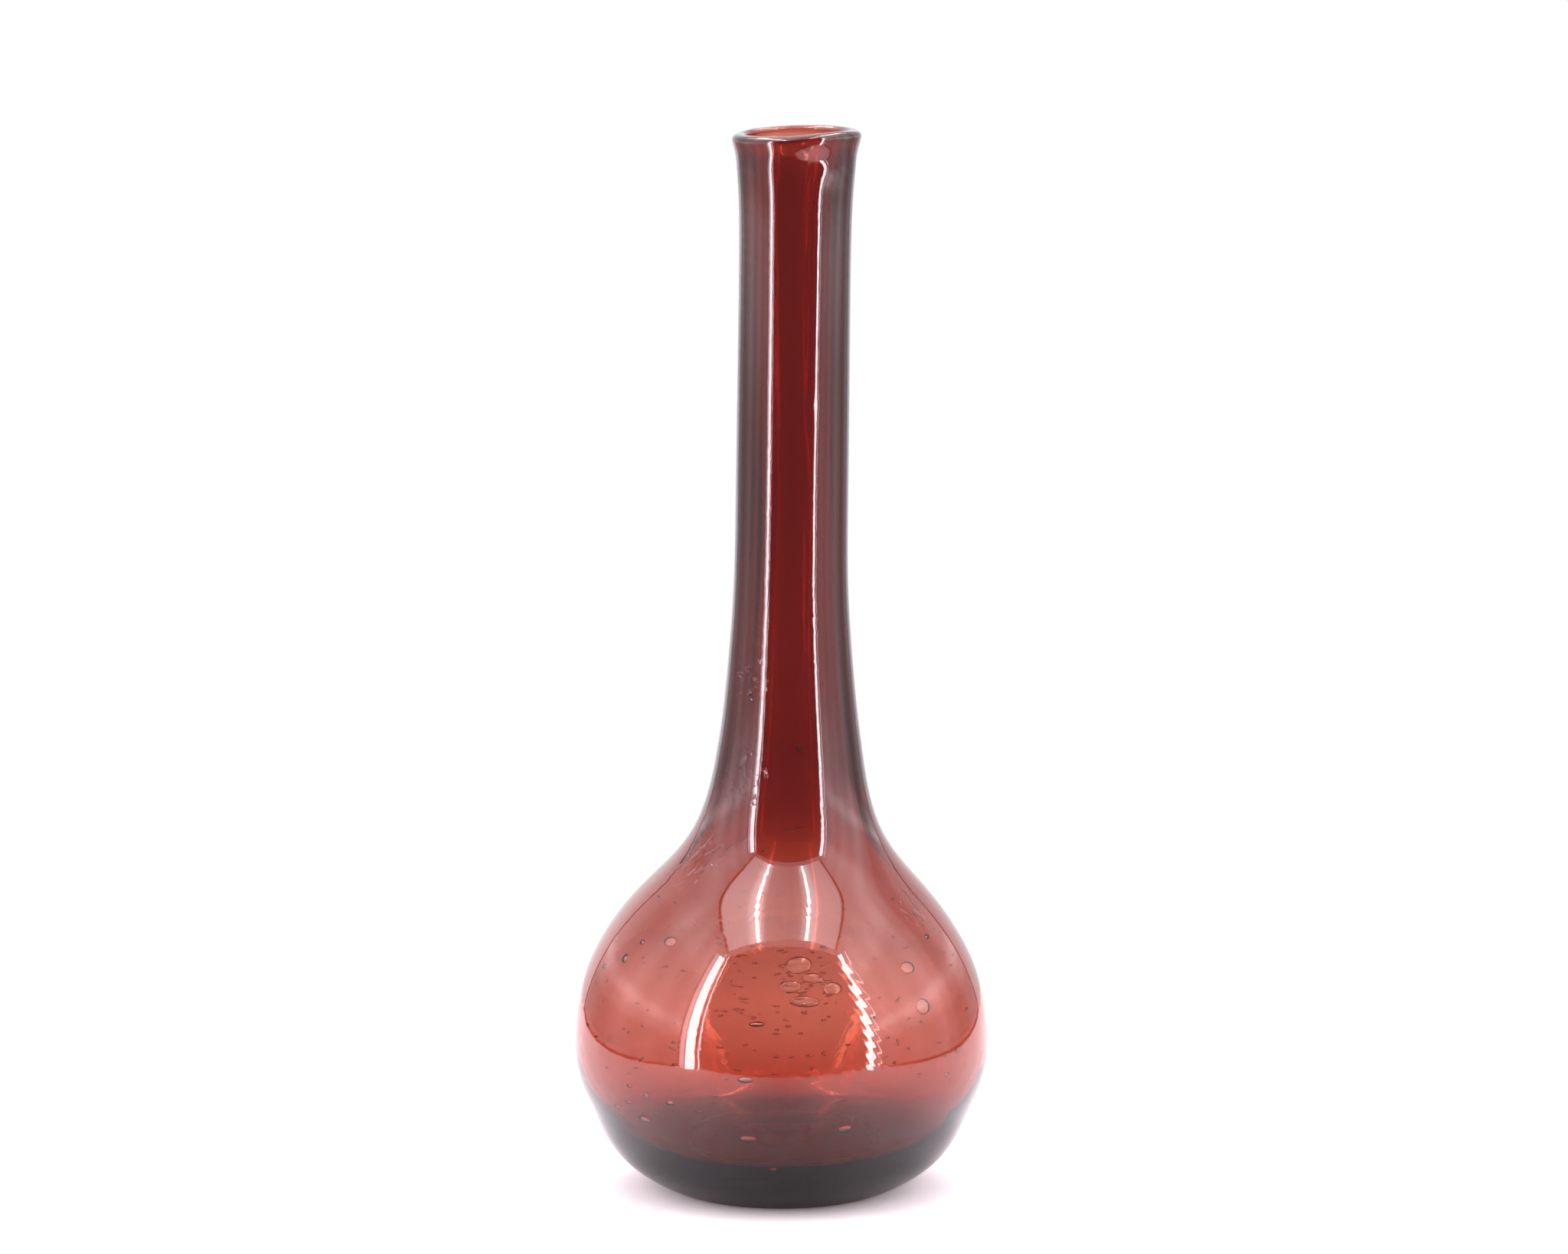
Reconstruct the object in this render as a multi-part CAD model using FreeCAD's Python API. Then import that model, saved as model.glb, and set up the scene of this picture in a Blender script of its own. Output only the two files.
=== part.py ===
import FreeCAD, Part

import math
import os

# Free-blown bottle vase: one bubble of glass with a thick base, a squat bulb, a long
# leaning neck and a fire-polished lip, and the punty's scar in the hollow underneath.
# Millimetres, +Z up. The origin is the centre of the standing ring, on the table.
# The neck leans towards +X.

# Driving sizes of the whole vase
overall_height = 301.0
bulb_radius = 58.8
bulb_height = 100.0
neck_radius = 15.85
bore_radius = 10.95
lip_radius = 18.0
neck_lean = 4.3
lip_rise = 0.7

# Glass thickness
bulb_wall = 2.0
lip_wall = 4.6
base_thickness = 5.0

# Underside: a narrow flat ring to stand on, round a shallow hollow
ring_radius = 27.0
ring_width = 2.4
hollow_depth = 4.0

# Scar that the punty left in the middle of the hollow
mark_radius = 9.0
mark_thickness = 1.4
mark_edge = 0.7

# Outside of the bulb, from the heel up to the root of the neck: radius as a share of
# the bulb's radius, and height as a share of the bulb's height
bulb_outline_shares = (
    (0.800, 0.075),
    (0.920, 0.245),
    (1.020, 0.355),
    (0.990, 0.580),
    (0.845, 0.750),
    (0.675, 0.875),
)

# Glass above the heel, at each of the rows above but the first, as a share of the
# bulb's wall
bulb_wall_shares = (1.40, 1.10, 1.00, 1.00, 1.10)

# Neck, from its root up to below the lip: radius outside as a share of the neck's
# radius, radius inside as a share of the bore's, and height as a share of the neck's
# length
neck_outline_shares = (
    (1.540, 1.940, 0.010),
    (1.270, 1.480, 0.140),
    (1.170, 1.290, 0.200),
    (1.015, 1.055, 0.340),
    (1.000, 1.000, 0.440),
    (1.000, 1.000, 0.560),
    (0.995, 1.000, 0.680),
    (0.990, 1.000, 0.800),
    (1.000, 1.000, 0.900),
    (1.060, 1.100, 0.950),
)

# Straight bore in the neck, from and to, as shares of the neck's length, and the longer
# stretch over which the centre line of the inside stands upright
bore_shares = (0.56, 0.80)
upright_shares = (0.44, 0.90)

# Centre line: how far it has moved over, as a share of the lean, by height as a share
# of the overall height
lean_shares = (
    (0.00, 0.00),
    (0.28, 0.00),
    (0.36, 0.55),
    (0.56, 0.60),
    (1.00, 1.00),
)

# Lip, from below its flare up to its rounded rim: radius as a share of the lip's (on
# the outside) or the mouth's (on the inside), and depth below the crest as a share of
# the lip's wall
lip_outline_shares = (
    (0.940, 1.45),
    (0.980, 0.85),
    (1.040, 0.00),
)
mouth_outline_shares = (
    (0.930, 1.30),
    (0.990, 0.75),
    (0.975, 0.00),
)

# Where the crest stands across the lip's wall, from the outside
crest_share = 0.50

# The lip's rim is tilted from this height up, as a share of the overall height
tilt_from_share = 0.94

# Floor of the inside: the flat middle, and where it turns up into the heel, as shares
# of the bulb's radius
floor_flat_share = 0.12
floor_turn_shares = (0.40, 0.76)

# Hollow underneath: where its dome flattens, between the scar and the ring
hollow_turn_shares = (0.35, 0.75)

# A rational circle of nine poles, by their corner factors, in four arcs
circle_poles = ((1, 0), (1, 1), (0, 1), (-1, 1), (-1, 0), (-1, -1), (0, -1), (1, -1), (1, 0))
circle_arcs = 4
circle_degree = 2
profile_degree = 3


def lean_at(height):
    """How far the centre line stands towards +X at a height."""
    share = height / overall_height
    for low, high in zip(lean_shares, lean_shares[1:]):
        if share <= high[0]:
            along = (share - low[0]) / (high[0] - low[0])
            return neck_lean * (low[1] + along * (high[1] - low[1]))
    return neck_lean


def rim_slope_at(height):
    """Rise per millimetre towards +X: nothing in the neck, all of it at the crest."""
    start = tilt_from_share * overall_height
    crest = overall_height - lip_rise
    if height <= start:
        return 0.0
    return lip_rise / lip_radius * (height - start) / (crest - start)


def inside_lean_at(height):
    """The same for the inside, which stands upright along its straight bore."""
    low, high = upright_shares
    if neck_height(low) <= height <= neck_height(high):
        return lean_at(neck_height(sum(bore_shares) / 2))
    return lean_at(height)


def knot_mults(degree, inner_mult, spans):
    """How often each knot counts in a clamped spline."""
    return [degree + 1] + [inner_mult] * (spans - 1) + [degree + 1]


def turned_face(rows, centre_at):
    """A face of exact circles round a moving centre, from rows of (radius, height)."""
    poles = []
    weights = []
    corner_weight = math.cos(math.pi / circle_arcs)
    for radius, height in rows:
        centre = centre_at(height)
        slope = rim_slope_at(height)
        row = []
        for factor_x, factor_y in circle_poles:
            x = radius * factor_x
            row.append(FreeCAD.Vector(centre + x, radius * factor_y, height + slope * x))
        poles.append(row)
        weights.append([corner_weight if n % 2 else 1.0 for n in range(len(circle_poles))])
    spans = len(rows) - profile_degree
    surface = Part.BSplineSurface()
    surface.buildFromPolesMultsKnots(
        poles,
        knot_mults(profile_degree, 1, spans),
        knot_mults(circle_degree, circle_degree, circle_arcs),
        [n / spans for n in range(spans + 1)],
        [n / circle_arcs for n in range(circle_arcs + 1)],
        False,
        False,
        profile_degree,
        circle_degree,
        weights,
    )
    return surface.toShape()


def disc_face(radius, height):
    """A flat disc on the vase's axis."""
    edge = Part.makeCircle(radius, FreeCAD.Vector(0, 0, height))
    return Part.Face(Part.Wire([edge]))


def ring_face(outer_radius, inner_radius, height):
    """A flat ring on the vase's axis."""
    centre = FreeCAD.Vector(0, 0, height)
    outer = Part.Wire([Part.makeCircle(outer_radius, centre)])
    inner = Part.Wire([Part.makeCircle(inner_radius, centre)])
    return Part.Face([outer, inner], "Part::FaceMakerBullseye")


def bulb_outside():
    """Rows of (radius, height) up the outside of the bulb, from the heel."""
    return [(radius * bulb_radius, height * bulb_height) for radius, height in bulb_outline_shares]


def neck_height(share):
    """Height of a share of the neck's length above its root."""
    return bulb_height + share * (overall_height - lip_rise - bulb_height)


def neck_outside():
    """Rows of (radius, height) up the outside of the neck, to below the lip."""
    return [(outside * neck_radius, neck_height(share)) for outside, inside, share in neck_outline_shares]


def neck_inside(low, high):
    """Rows of (radius, height) up the inside of the neck, between two shares of its length."""
    rows = [row for row in neck_outline_shares if low <= row[2] <= high]
    return [(inside * bore_radius, neck_height(share)) for outside, inside, share in rows]


def bulb_inside():
    """The bulb's rows above the heel, moved in by the wall, square to the outline."""
    outline = bulb_outside() + neck_outside()
    rows = []
    for before, (radius, height), after, wall_share in zip(outline, outline[1:], outline[2:], bulb_wall_shares):
        run = after[0] - before[0]
        rise = after[1] - before[1]
        inset = wall_share * bulb_wall / math.hypot(run, rise)
        rows.append((radius - inset * rise, height + inset * run))
    return rows


def outer_wall():
    """Outside of the glass, from the standing ring to the crest of the lip."""
    crest = overall_height - lip_rise
    ring_edge = ring_radius + ring_width / 2
    rows = [(ring_edge, 0.0), (ring_edge + ring_width, 0.0)]
    rows += bulb_outside() + neck_outside()
    for share, drop in lip_outline_shares:
        rows.append((share * lip_radius, crest - drop * lip_wall))
    rows.append((lip_radius - crest_share * lip_wall, crest))
    return turned_face(rows, lean_at)


def lower_inside():
    """Inside of the glass, from the flat middle of the floor to the straight bore."""
    floor = hollow_depth + base_thickness
    rows = [(floor_flat_share * bulb_radius, floor)]
    rows += [(share * bulb_radius, floor) for share in floor_turn_shares]
    rows += bulb_inside() + neck_inside(0.0, bore_shares[0])
    return turned_face(rows, inside_lean_at)


def straight_bore():
    """The straight and upright part of the inside."""
    low, high = (neck_height(share) for share in bore_shares)
    circle = Part.makeCircle(bore_radius, FreeCAD.Vector(inside_lean_at(low), 0, low))
    return circle.extrude(FreeCAD.Vector(0, 0, high - low))


def upper_inside():
    """Inside of the glass, from the straight bore to the crest of the lip."""
    crest = overall_height - lip_rise
    mouth = lip_radius - lip_wall
    rows = neck_inside(bore_shares[1], 1.0)
    for share, drop in mouth_outline_shares:
        rows.append((share * mouth, crest - drop * lip_wall))
    rows.append((lip_radius - crest_share * lip_wall, crest))
    return turned_face(rows, inside_lean_at)


def hollow_face():
    """Dome of the hollow underneath, from the standing ring in to the flat round the scar."""
    ring_edge = ring_radius - ring_width / 2
    span = ring_edge - mark_radius
    rows = [(ring_edge, 0.0)]
    rows += [(ring_edge - hollow_turn_shares[0] * span, hollow_turn_shares[1] * hollow_depth)]
    rows += [(mark_radius + hollow_turn_shares[0] * span, hollow_depth), (mark_radius, hollow_depth)]
    return turned_face(rows, lean_at)


def vase_glass():
    """The blown bubble: base, bulb, shoulder, neck and lip in one piece of glass."""
    faces = [
        outer_wall(),
        lower_inside(),
        straight_bore(),
        upper_inside(),
        hollow_face(),
        ring_face(ring_radius + ring_width / 2, ring_radius - ring_width / 2, 0.0),
        disc_face(mark_radius, hollow_depth),
        disc_face(floor_flat_share * bulb_radius, hollow_depth + base_thickness),
    ]
    shell = Part.makeShell(faces)
    shell.sewShape()
    solid = Part.Solid(shell)
    if solid.Volume < 0:
        solid.reverse()
    return solid


def punty_mark():
    """Low round scar of glass in the middle of the hollow, with a worn edge."""
    scar = Part.makeCylinder(mark_radius, mark_thickness, FreeCAD.Vector(0, 0, hollow_depth - mark_thickness))
    lower = [e for e in scar.Edges if abs(e.BoundBox.ZMax - (hollow_depth - mark_thickness)) < mark_edge / 2]
    return scar.makeFillet(mark_edge, lower)


os.makedirs("parts", exist_ok=True)
for make_piece in (vase_glass, punty_mark):
    piece = make_piece()
    piece.exportStep("parts/" + make_piece.__name__ + ".step")
    box = piece.BoundBox
    print(make_piece.__name__, "valid", piece.isValid(), "solids", len(piece.Solids), "faces", len(piece.Faces))
    print("  volume", round(piece.Volume, 1))
    print("  x", round(box.XMin, 2), round(box.XMax, 2), "y", round(box.YMin, 2), round(box.YMax, 2))
    print("  z", round(box.ZMin, 2), round(box.ZMax, 2))
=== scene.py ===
"""Blown-glass bottle vase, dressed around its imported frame.

The vase is one closed skin of red glass: a hollowed base, a squat bulb, a long leaning
neck and a fire-polished lip. Seeds and blisters lie inside the wall, and the punty's
scar sits in the hollow underneath. Lengths are metres unless a name says otherwise.
"""

import logging
import math
import random
from dataclasses import dataclass, field
from enum import Enum

import bmesh
import bpy
import numpy as np
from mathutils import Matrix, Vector


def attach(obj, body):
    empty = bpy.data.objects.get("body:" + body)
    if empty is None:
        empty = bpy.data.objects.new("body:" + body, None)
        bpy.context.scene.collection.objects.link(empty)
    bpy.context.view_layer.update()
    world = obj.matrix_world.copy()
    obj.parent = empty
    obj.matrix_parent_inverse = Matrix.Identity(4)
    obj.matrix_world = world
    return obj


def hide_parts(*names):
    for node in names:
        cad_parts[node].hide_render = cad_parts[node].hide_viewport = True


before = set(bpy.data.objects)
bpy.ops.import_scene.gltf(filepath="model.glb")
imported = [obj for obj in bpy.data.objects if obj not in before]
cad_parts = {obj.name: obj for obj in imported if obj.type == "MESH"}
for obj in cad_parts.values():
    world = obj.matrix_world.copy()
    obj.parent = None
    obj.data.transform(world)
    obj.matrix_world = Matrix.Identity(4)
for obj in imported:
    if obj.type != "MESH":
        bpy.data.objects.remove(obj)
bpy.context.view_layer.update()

logger = logging.getLogger("bottle_vase")

Colour = tuple[float, float, float, float]

MM = 0.001
BODY = "root"


class Skin(Enum):
    """Which side of the glass a row of the outline belongs to."""

    UNDERSIDE = "underside"
    OUTSIDE = "outside"
    MOUTH = "mouth"
    INSIDE = "inside"


class Seen(Enum):
    """Which rays see the glow of a stage wall."""

    ALL = "all"
    REFLECTED = "reflected"


class Axis(Enum):
    """Direction along which a stage sheet's glow changes."""

    ACROSS = "X"
    INWARD = "Y"
    UPWARD = "Z"


@dataclass(frozen=True)
class VaseSizes:
    """Sizes of the vase, the same as in its solid, in millimetres."""

    overall_height: float = 301.0
    bulb_radius: float = 58.8
    bulb_height: float = 100.0
    neck_radius: float = 15.85
    bore_radius: float = 10.95
    lip_radius: float = 18.0
    neck_lean: float = 4.3
    lip_rise: float = 0.7
    bulb_wall: float = 2.0
    lip_wall: float = 4.6
    base_thickness: float = 5.0
    ring_radius: float = 27.0
    ring_width: float = 2.4
    hollow_depth: float = 4.0
    mark_radius: float = 9.0
    mark_thickness: float = 1.4
    tilt_from_share: float = 0.94
    floor_flat_share: float = 0.12
    crest_share: float = 0.50

    @property
    def crest(self) -> float:
        """Height of the lip's crest at the neck's middle."""
        return self.overall_height - self.lip_rise


# Radius and height up the outside of the bulb, as shares of the bulb's
BULB_SHARES = (
    (0.800, 0.075),
    (0.920, 0.245),
    (1.020, 0.355),
    (0.990, 0.580),
    (0.845, 0.750),
    (0.675, 0.875),
)

# Glass at each of those rows but the first, as a share of the bulb's wall
BULB_WALL_SHARES = (1.40, 1.10, 1.00, 1.00, 1.10)

# Outer radius as a share of the neck's, inner as a share of the bore's, and the height
# as a share of the neck's length
NECK_SHARES = (
    (1.540, 1.940, 0.010),
    (1.270, 1.480, 0.140),
    (1.170, 1.290, 0.200),
    (1.015, 1.055, 0.340),
    (1.000, 1.000, 0.440),
    (1.000, 1.000, 0.560),
    (0.995, 1.000, 0.680),
    (0.990, 1.000, 0.800),
    (1.000, 1.000, 0.900),
    (1.060, 1.100, 0.950),
)

# Straight bore, and the longer stretch over which the inside stands upright, as shares
# of the neck's length
BORE_SHARES = (0.56, 0.80)
UPRIGHT_SHARES = (0.44, 0.90)

# How far the centre line has moved over, by height, both as shares
LEAN_SHARES = ((0.00, 0.00), (0.28, 0.00), (0.36, 0.55), (0.56, 0.60), (1.00, 1.00))

# Radius as a share of the lip's or the mouth's, and the drop below the crest as a share
# of the lip's wall
LIP_SHARES = ((0.940, 1.45), (0.980, 0.85), (1.040, 0.00))
MOUTH_SHARES = ((0.930, 1.30), (0.990, 0.75), (0.975, 0.00))
FLOOR_TURN_SHARES = (0.40, 0.76)
HOLLOW_TURN_SHARES = (0.35, 0.75)

# How far the rim sags or rises, in millimetres, by the angle in degrees from +X
RIM_WAVE = (
    (0.0, -0.65),
    (45.0, -0.35),
    (90.0, -0.10),
    (135.0, -0.10),
    (180.0, -0.30),
    (225.0, -0.36),
    (262.0, -0.32),
    (288.0, 0.10),
    (315.0, 0.12),
    (338.0, -0.25),
)
RIM_WAVE_DEPTH = 14.0

# The last place on a spline, just inside its end, how many of its points there are for
# each one kept, and the length in millimetres that a radian of bend counts for when
# points are spread along it
LAST_PLACE = 1.0 - 1e-12
DENSE = 20
BEND_LENGTH = 4.0

# How thick a bubble may be, as a share of its middle's distance from the nearer side of
# the wall, and half of the stretch in millimetres over which the wall's slope is taken
BUBBLE_ROOM = 1.6
SLOPE_STEP = 0.5


def rising(value: float, end: float) -> float:
    """Share that rises evenly from 0 to 1, as a value goes from 0 to its end."""
    return min(1.0, max(0.0, value / end))


def new_piece(name: str, mesh: bpy.types.Mesh) -> bpy.types.Object:
    """Puts a mesh into the scene as a piece of its own.

    Args:
        name: The piece's name.
        mesh: Its mesh.

    Returns:
        The piece.
    """
    piece = bpy.data.objects.new(name, mesh)
    bpy.context.scene.collection.objects.link(piece)
    return piece


def spline_points(rows: np.ndarray, count: int) -> np.ndarray:
    """Points along the clamped cubic spline that rows steer.

    Args:
        rows: One row of coordinates for each pole.
        count: How many points to give, evenly spaced in the spline's own parameter.

    Returns:
        An array of count points.
    """
    degree = 3
    spans = len(rows) - degree
    knots = np.concatenate([np.zeros(degree), np.linspace(0.0, 1.0, spans + 1), np.ones(degree)])
    places = np.linspace(0.0, 1.0, count)
    places[-1] = LAST_PLACE
    weights = ((places[:, None] >= knots[None, :-1]) & (places[:, None] < knots[None, 1:])).astype(float)
    for order in range(1, degree + 1):
        width = knots[order:] - knots[:-order]
        safe = np.where(width > 0, width, 1.0)
        share = (places[:, None] - knots[None, :-order]) / safe[None, :]
        share = np.where(width[None, :] > 0, share, 0.0)
        ahead = share[:, :-1] * weights[:, :-1]
        behind = np.where(width[None, 1:] > 0, 1.0 - share[:, 1:], 0.0) * weights[:, 1:]
        weights = ahead + behind
    return weights @ rows


def evenly_spaced(points: np.ndarray, count: int) -> np.ndarray:
    """Thins a dense outline to points that lie closer together where it bends.

    Args:
        points: Dense outline points whose first two columns are radius and height.
        count: How many points to keep.

    Returns:
        An array of count points from the first to the last.
    """
    steps = np.diff(points[:, :2], axis=0)
    lengths = np.hypot(steps[:, 0], steps[:, 1])
    turns = np.unwrap(np.arctan2(steps[:, 1], steps[:, 0]))
    bend = np.abs(np.gradient(turns)) * BEND_LENGTH
    along = np.concatenate([[0.0], np.cumsum(lengths + bend)])
    wanted = np.linspace(0.0, along[-1], count)
    return np.stack([np.interp(wanted, along, column) for column in points.T], axis=1)


@dataclass(frozen=True)
class Wave:
    """One ripple of the glass: how often it goes round, and how it drifts upward."""

    lobes: int
    height: float
    phase: float
    twist: float

    def at(self, angle: np.ndarray, level: float) -> np.ndarray:
        """Ripple height at each angle of one level."""
        return self.height * np.cos(self.lobes * angle + self.phase + self.twist * level)


@dataclass(frozen=True)
class Ripples:
    """Ripples that the blowing left in one side of the glass, in millimetres."""

    seed: int
    lobes: tuple[int, ...]
    size: float
    longest: float

    def waves(self) -> list[Wave]:
        """Draws the ripples, the same ones each time.

        Returns:
            One wave for each number of lobes.
        """
        draw = random.Random(self.seed)
        waves = []
        for lobes in self.lobes:
            height = self.size * draw.uniform(0.5, 1.0) / math.sqrt(len(self.lobes))
            twist = 2.0 * math.pi / (self.longest * draw.uniform(0.6, 1.8)) * draw.choice((-1, 1))
            waves.append(Wave(lobes, height, draw.uniform(0.0, 2.0 * math.pi), twist))
        return waves

    def at(self, angle: np.ndarray, level: float) -> np.ndarray:
        """All the ripples added up at each angle of one level."""
        return sum(wave.at(angle, level) for wave in self.waves())


@dataclass(frozen=True)
class Dent:
    """A shallow place in one side of the glass, in millimetres.

    Its angles are in degrees from the front towards +X. With a depth below zero it
    stands out.
    """

    angle: float
    height: float
    half_angle: float
    half_height: float
    depth: float

    def at(self, angle: np.ndarray, level: float) -> np.ndarray:
        """Depth of the place round one level.

        Args:
            angle: Angles round the ring, in radians from +X.
            level: The ring's height in millimetres.

        Returns:
            Millimetres at each angle, negative where the glass goes in.
        """
        turn = np.degrees(np.angle(np.exp(1j * (angle - math.radians(self.angle - 90.0)))))
        across = (turn / self.half_angle) ** 2
        along = ((level - self.height) / self.half_height) ** 2
        return -self.depth * np.exp(-(across + along))


@dataclass(frozen=True)
class Thicker:
    """A stretch of the wall whose inside stands a little further in, in millimetres.

    With a thickness below zero it stands a little further out.
    """

    height: float
    half_height: float
    thickness: float

    def at(self, level: float) -> float:
        """Extra glass at one level."""
        return self.thickness * math.exp(-(((level - self.height) / self.half_height) ** 2))


@dataclass(frozen=True)
class Bubble:
    """A seed or blister in the wall; sizes in millimetres, angles in degrees.

    The angle is from the front towards +X, the depth is a share of the wall from the
    outside, and the tilt is the long way's slope from level.
    """

    angle: float
    height: float
    length: float
    width: float
    thickness: float
    depth: float = 0.4
    tilt: float = 0.0
    rounds: int = 2


# Blisters and large seeds, where they are seen in the front of the vase
BLISTERS = (
    Bubble(5.6, 73.6, 7.2, 5.0, 0.62, 0.45, 8.0, 3),
    Bubble(2.7, 68.2, 6.2, 3.6, 0.62, 0.40, 4.0, 3),
    Bubble(9.8, 70.2, 6.0, 3.0, 0.62, 0.55, -4.0, 3),
    Bubble(15.6, 67.4, 5.2, 3.6, 0.62, 0.45, 0.0, 3),
    Bubble(6.9, 64.4, 8.4, 3.2, 0.62, 0.40, -3.0, 3),
    Bubble(-41.8, 77.3, 4.2, 3.0, 0.62, 0.50, 0.0, 3),
    Bubble(-59.2, 70.8, 2.6, 2.76, 1.3, 0.50, 20.0, 2),
    Bubble(-54.4, 75.7, 2.2, 1.61, 1.3, 0.50, 10.0, 2),
    Bubble(-69.9, 66.9, 2.0, 1.38, 1.17, 0.50, 0.0, 2),
    Bubble(43.4, 70.4, 5.0, 3.6, 0.62, 0.50, 0.0, 3),
    Bubble(45.0, 60.0, 5.2, 4.4, 0.62, 0.50, 0.0, 3),
    Bubble(59.2, 76.5, 2.4, 1.61, 1.3, 0.50, 0.0, 2),
    Bubble(-6.9, 58.5, 4.4, 1.49, 1.27, 0.45, 2.0, 3),
    Bubble(-1.4, 49.8, 1.8, 0.57, 0.72, 0.45, 2.0, 2),
    Bubble(2.7, 49.8, 1.9, 0.57, 0.72, 0.45, 2.0, 2),
    Bubble(18.6, 52.5, 1.8, 0.57, 0.72, 0.45, 0.0, 2),
    Bubble(-17.1, 51.9, 2.2, 0.57, 0.72, 0.45, -4.0, 2),
    Bubble(-9.8, 43.3, 4.4, 1.95, 1.3, 0.50, 0.0, 3),
    Bubble(-9.8, 25.7, 5.2, 2.3, 1.3, 0.40, 0.0, 3),
    Bubble(-43.4, 28.4, 4.4, 2.07, 1.3, 0.40, -6.0, 3),
    Bubble(18.6, 28.4, 4.6, 2.53, 1.3, 0.35, 6.0, 3),
    Bubble(-32.4, 34.8, 2.8, 1.38, 1.17, 0.40, 0.0, 2),
    Bubble(-40.3, 36.2, 2.6, 1.15, 0.98, 0.40, 0.0, 2),
    Bubble(-46.6, 37.8, 2.2, 1.03, 0.88, 0.40, 0.0, 2),
    Bubble(-48.2, 32.8, 2.4, 1.03, 0.88, 0.40, -5.0, 2),
    Bubble(-54.5, 30.3, 3.0, 1.38, 1.17, 0.40, -10.0, 2),
    Bubble(-23.1, 20.6, 2.2, 0.92, 0.96, 0.30, 0.0, 2),
    Bubble(-2.7, 16.4, 2.6, 1.03, 1.12, 0.30, 0.0, 2),
    Bubble(23.1, 225.2, 2.6, 1.38, 1.3, 0.22, 78.0, 3),
    Bubble(-35.9, 101.3, 3.4, 0.92, 0.8, 0.50, 40.0, 2),
    Bubble(-13.1, 101.5, 2.8, 0.69, 0.8, 0.50, 35.0, 2),
)


@dataclass(frozen=True)
class SeedField:
    """Small seeds strewn over a stretch of the wall."""

    seed: int
    count: int
    heights: tuple[float, float]
    lengths: tuple[float, float]
    widths: tuple[float, float]
    tilt: float
    spread: float
    angles: tuple[float, float] = (-180.0, 180.0)

    def bubbles(self) -> list[Bubble]:
        """Draws the seeds, the same ones each time.

        Returns:
            The field's seeds.
        """
        draw = random.Random(self.seed)
        seeds = []
        for _ in range(self.count):
            width = draw.uniform(*self.widths)
            length = max(width, draw.uniform(*self.lengths) * draw.uniform(0.5, 1.0))
            angle, height = draw.uniform(*self.angles), draw.uniform(*self.heights)
            tilt = self.tilt + draw.gauss(0.0, self.spread)
            seeds.append(Bubble(angle, height, length, width, width, draw.uniform(0.3, 0.7), tilt))
        return seeds


SEED_FIELDS = (
    SeedField(7, 210, (18.0, 96.0), (1.2, 3.4), (0.34, 0.75), 0.0, 10.0),
    SeedField(8, 60, (96.0, 150.0), (1.0, 3.4), (0.30, 0.60), 30.0, 40.0),
    SeedField(9, 80, (150.0, 294.0), (0.8, 2.6), (0.26, 0.50), 88.0, 8.0),
    SeedField(10, 44, (56.0, 78.0), (1.4, 3.2), (0.40, 0.66), 2.0, 8.0, (-2.0, 15.0)),
    SeedField(11, 24, (60.0, 76.0), (1.2, 2.6), (0.36, 0.60), 2.0, 8.0, (-20.0, -8.0)),
)


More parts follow.
